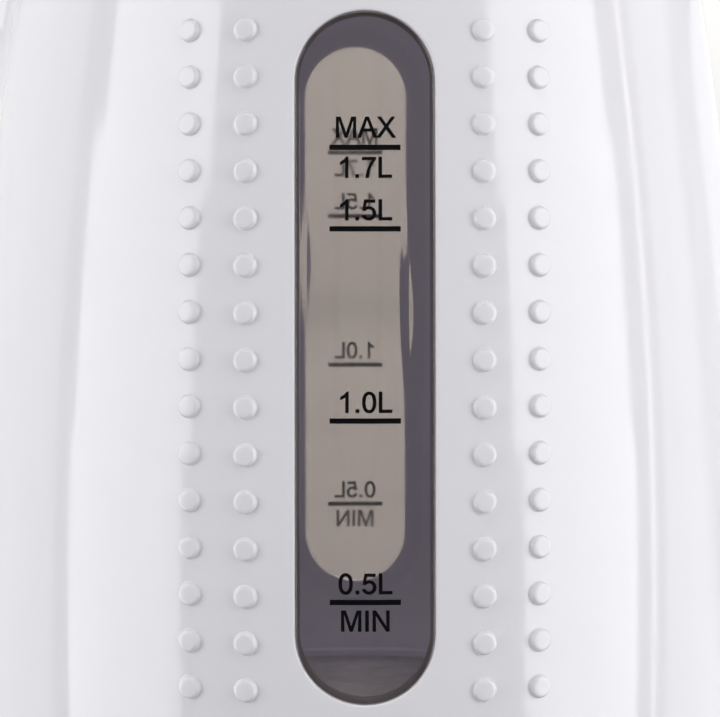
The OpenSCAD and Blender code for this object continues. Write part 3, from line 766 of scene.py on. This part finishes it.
def stage_bowl(name, mat):
    """A pale floor that curves up all round into a plain backdrop."""
    line = [(r, 0.0) for r in FLOOR_RINGS] + [(FLOOR_FLAT, 0.0)]
    for i in range(1, FLOOR_BEND_STEPS + 1):
        t = math.pi / 2 * i / FLOOR_BEND_STEPS
        line.append((FLOOR_FLAT + FLOOR_BEND * math.sin(t), FLOOR_BEND - FLOOR_BEND * math.cos(t)))
    line.append((FLOOR_FLAT + FLOOR_BEND, FLOOR_HEIGHT))
    turns = [2 * math.pi * k / FLOOR_SIDES for k in range(FLOOR_SIDES)]
    verts = [(0, 0, 0)] + [(r * math.cos(t), r * math.sin(t), z) for r, z in line for t in turns]
    faces = []
    for k in range(FLOOR_SIDES):
        j = (k + 1) % FLOOR_SIDES
        faces.append((0, 1 + k, 1 + j))
        for i in range(len(line) - 1):
            a, b = 1 + i * FLOOR_SIDES, 1 + (i + 1) * FLOOR_SIDES
            faces.append((a + k, b + k, b + j, a + j))
    mesh = bpy.data.meshes.new(name)
    mesh.from_pydata(verts, [], faces)
    mesh.polygons.foreach_set("use_smooth", [True] * len(faces))
    mesh.materials.append(mat)
    obj = bpy.data.objects.new(name, mesh)
    bpy.context.scene.collection.objects.link(obj)
    # hidden from mirroring, so the jug mirrors the panels down to its foot, as if it stood on a raised sheet
    obj.visible_glossy = False


def glow_with_height(mat, low, high, strength):
    """Lets the backdrop glow more from one height to another, in metres, like a lit paper wall."""
    nt = mat.node_tree
    bsdf = nt.nodes["Principled BSDF"]
    bsdf.inputs["Emission Color"].default_value = (1.0, 0.975, 0.95, 1)
    coord = nt.nodes.new("ShaderNodeTexCoord")
    split = nt.nodes.new("ShaderNodeSeparateXYZ")
    ramp = nt.nodes.new("ShaderNodeMapRange")
    ramp.inputs["From Min"].default_value = low
    ramp.inputs["From Max"].default_value = high
    ramp.inputs["To Max"].default_value = strength
    nt.links.new(coord.outputs["Object"], split.inputs["Vector"])
    nt.links.new(split.outputs["Z"], ramp.inputs["Value"])
    nt.links.new(ramp.outputs["Result"], bsdf.inputs["Emission Strength"])


floor_mat = material("pale_floor", (0.51, 0.507, 0.50), 0.6, mottle=0.01, mottle_scale=3.0)
glow_with_height(floor_mat, 0.0, FLOOR_GLOW_HEIGHT, FLOOR_GLOW)
stage_bowl("floor", floor_mat)

world = bpy.data.worlds.new("studio")
world.use_nodes = True
background = world.node_tree.nodes["Background"]
background.inputs["Color"].default_value = (0.86, 0.86, 0.87, 1)
background.inputs["Strength"].default_value = 0.105
bpy.context.scene.world = world

MIRROR_X, MIRROR_Y = 0.033, -0.062  # where the jug mirrors a panel towards the camera
PANEL_DISTANCE = 0.95  # from there to the panel's middle


def softbox(name, place, aim, width, height, power):
    """A square-cornered area light. The camera and the panes' refracted rays don't see it."""
    light = bpy.data.lights.new(name, "AREA")
    light.shape = "RECTANGLE"
    light.size, light.size_y = width, height
    light.energy = power
    obj = bpy.data.objects.new(name, light)
    obj.location = place
    obj.rotation_euler = (Vector(aim) - Vector(place)).to_track_quat("-Z", "Y").to_euler()
    obj.visible_camera = False
    obj.visible_transmission = False
    bpy.context.scene.collection.objects.link(obj)


def panel(name, heights, azimuths, radiance, outward=False):
    """An upright soft panel from one azimuth to another, where 0 is the camera's side."""
    low, high = heights
    middle, half = sum(azimuths) / 2, (azimuths[1] - azimuths[0]) / 2
    root = Vector((math.copysign(MIRROR_X, middle), MIRROR_Y, (low + high) / 2))
    a = math.radians(middle)
    place = root + Vector((math.sin(a), -math.cos(a), 0)) * PANEL_DISTANCE
    width, height = 2 * PANEL_DISTANCE * math.tan(math.radians(half)), high - low
    aim = 2 * place - root if outward else root
    softbox(name, place, aim, width, height, radiance * math.pi * width * height)


# stacked panels at both sides of the camera draw the bright bands down the jug, wider apart lower down:
# each row's heights, and the azimuths of its left and right panel
PANEL_ROWS = [
    ((-0.45, -0.15), (-95.0, -56.0), (49.5, 88.0)),
    ((-0.15, 0.10), (-93.5, -52.5), (46.5, 86.5)),
    ((0.10, 0.35), (-92.0, -49.5), (43.5, 85.0)),
    ((0.35, 0.60), (-88.0, -46.5), (41.0, 83.0)),
    ((0.60, 0.85), (-86.0, -44.0), (39.0, 81.5)),
]
LEFT_LIGHT, RIGHT_LIGHT = 3.35, 3.8  # radiance, in watts per square metre and steradian
for k, (heights, left, right) in enumerate(PANEL_ROWS):
    panel(f"soft_left_{k}", heights, left, LEFT_LIGHT)
    panel(f"soft_right_{k}", heights, right, RIGHT_LIGHT)

# bright rims along the jug's outline, and a fine bright line beside the right band
REAR_HEIGHTS, REAR_LEFT, REAR_RIGHT = (-0.30, 0.85), (-168.0, -100.0), (99.0, 168.0)
REAR_LEFT_LIGHT, REAR_RIGHT_LIGHT = 0.75, 1.05
panel("soft_rear_left", REAR_HEIGHTS, REAR_LEFT, REAR_LEFT_LIGHT)
panel("soft_rear_right", REAR_HEIGHTS, REAR_RIGHT, REAR_RIGHT_LIGHT)
panel("soft_line_right", REAR_HEIGHTS, (92.5, 94.5), 3.2)

# the panels' backs light the floor behind them, which softens their edges in views from the side
BACK_HEIGHTS = (-0.02, 0.85)
_, middle_left, middle_right = PANEL_ROWS[2]
panel("back_left", BACK_HEIGHTS, middle_left, 3.4, outward=True)
panel("back_right", BACK_HEIGHTS, middle_right, RIGHT_LIGHT, outward=True)
panel("back_rear_left", BACK_HEIGHTS, REAR_LEFT, REAR_LEFT_LIGHT, outward=True)
panel("back_rear_right", BACK_HEIGHTS, REAR_RIGHT, REAR_RIGHT_LIGHT, outward=True)

softbox("soft_top", (0.0, -0.38, 1.25), (0, 0, 0.12), 0.72, 0.46, 2.9)
# lights the backdrop behind the kettle, which shows through the two panes
softbox("soft_back", (0.0, 1.5, 2.2), (0, 2.7, 0.3), 1.6, 1.0, 94)


CAMERA_PLACE, CAMERA_AIM, CAMERA_LENS = (-0.0077, -0.570, 0.1567), (-0.00085, -0.070, 0.1248), 147


def add_camera(place, aim, lens):
    """Sets up the photograph's view. The lens is in mm, on a sensor 36 mm wide."""
    cam = bpy.data.cameras.new("camera")
    cam.sensor_width = 36
    cam.lens = lens
    cam.clip_start = 0.01
    obj = bpy.data.objects.new("camera", cam)
    obj.location = place
    obj.rotation_euler = (Vector(aim) - Vector(place)).to_track_quat("-Z", "Y").to_euler()
    bpy.context.scene.collection.objects.link(obj)
    bpy.context.scene.camera = obj


add_camera(CAMERA_PLACE, CAMERA_AIM, CAMERA_LENS)
bpy.context.scene.view_settings.view_transform = "Standard"
